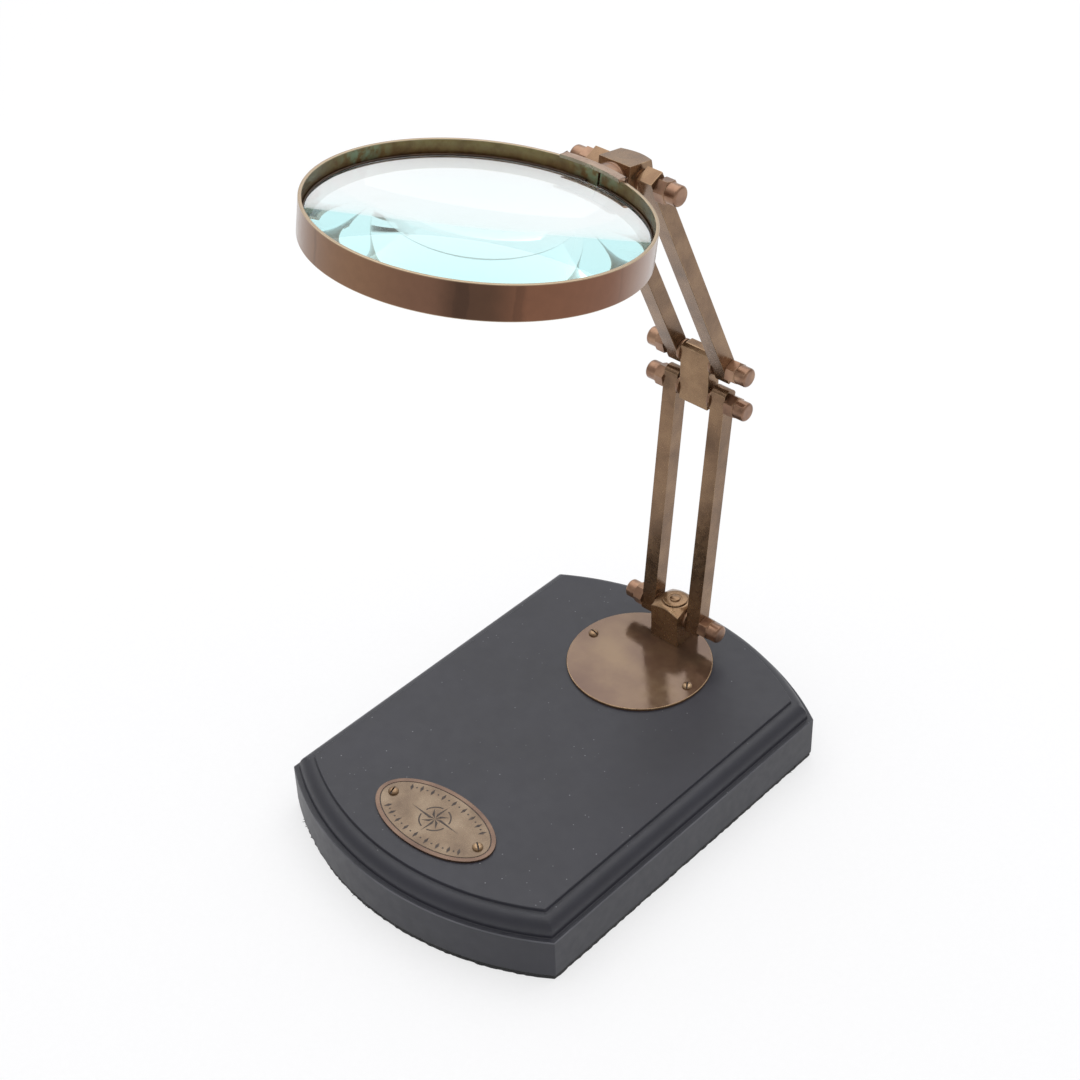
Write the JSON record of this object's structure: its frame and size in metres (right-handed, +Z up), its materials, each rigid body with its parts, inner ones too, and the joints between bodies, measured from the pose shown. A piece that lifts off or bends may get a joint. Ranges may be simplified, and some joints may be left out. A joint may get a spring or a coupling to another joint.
{
  "type": "table magnifier",
  "caption": "Large round lens in a brass band, held over a moulded wooden base by a folding double-bar arm with friction pivots.",
  "frame": {"origin": "middle of the base's underside, on the face that it rests on", "axes": "+Z up; -Y towards the front, where the lens reaches; X along the pivot pins"},
  "size_m": [0.127, 0.181, 0.259],
  "materials": {
    "black_wood": "satin black lacquer",
    "black_felt": "felt",
    "plate_brass": "aged, satin",
    "screw_brass": "polished",
    "arm_brass": "aged, polished",
    "ring_brass": "aged, brushed round",
    "pin_brass": "aged",
    "screw_steel": "plain",
    "lens_glass": "polished"
  },
  "bodies": {
    "base": {"base_plinth": "black_wood", "felt_pad": "black_felt", "oval_plate": "plate_brass", "oval_plate_screws": "screw_brass", "mounting_disc": "plate_brass", "mounting_disc_screws": "screw_brass", "base_post": "arm_brass", "post_screw": "screw_steel", "base_pin": "pin_brass", "base_washer_left": "pin_brass", "base_washer_right": "pin_brass", "base_cap_nut_left": "pin_brass", "base_cap_nut_right": "pin_brass"},
    "lower_arm": {"lower_bar_left": "arm_brass", "lower_bar_right": "arm_brass"},
    "elbow": {"elbow_block": "arm_brass", "elbow_lower_pin": "pin_brass", "elbow_lower_washer_left": "pin_brass", "elbow_lower_washer_right": "pin_brass", "elbow_lower_cap_nut_left": "pin_brass", "elbow_lower_cap_nut_right": "pin_brass", "elbow_upper_pin": "pin_brass", "elbow_upper_washer_left": "pin_brass", "elbow_upper_washer_right": "pin_brass", "elbow_upper_cap_nut_left": "pin_brass", "elbow_upper_cap_nut_right": "pin_brass"},
    "upper_arm": {"upper_bar_left": "arm_brass", "upper_bar_right": "arm_brass"},
    "head": {"head_block": "arm_brass", "head_pin": "pin_brass", "head_washer_left": "pin_brass", "head_washer_right": "pin_brass", "head_cap_nut_left": "pin_brass", "head_cap_nut_right": "pin_brass", "neck_collar": "arm_brass", "neck_stud": "screw_steel", "ring_saddle": "ring_brass", "lens_ring": "ring_brass", "magnifying_lens": "lens_glass", "upper_retaining_wire": "ring_brass", "lower_retaining_wire": "ring_brass"}
  },
  "joints": [
    {"name": "base_pivot", "type": "hinge", "parent": "base", "child": "lower_arm", "pos_m": [0, 0.0678, 0.0377], "axis": [1, 0, 0], "range_deg": [-45, 20]},
    {"name": "elbow_lower_pivot", "type": "hinge", "parent": "lower_arm", "child": "elbow", "pos_m": [0, 0.07888, 0.13205], "axis": [1, 0, 0], "range_deg": [-45, 20]},
    {"name": "elbow_upper_pivot", "type": "hinge", "parent": "elbow", "child": "upper_arm", "pos_m": [0, 0.07923, 0.14615], "axis": [1, 0, 0], "range_deg": [-45, 20]},
    {"name": "head_pivot", "type": "hinge", "parent": "upper_arm", "child": "head", "pos_m": [0, 0.04029, 0.2328], "axis": [1, 0, 0], "range_deg": [-50, 30]}
  ]
}
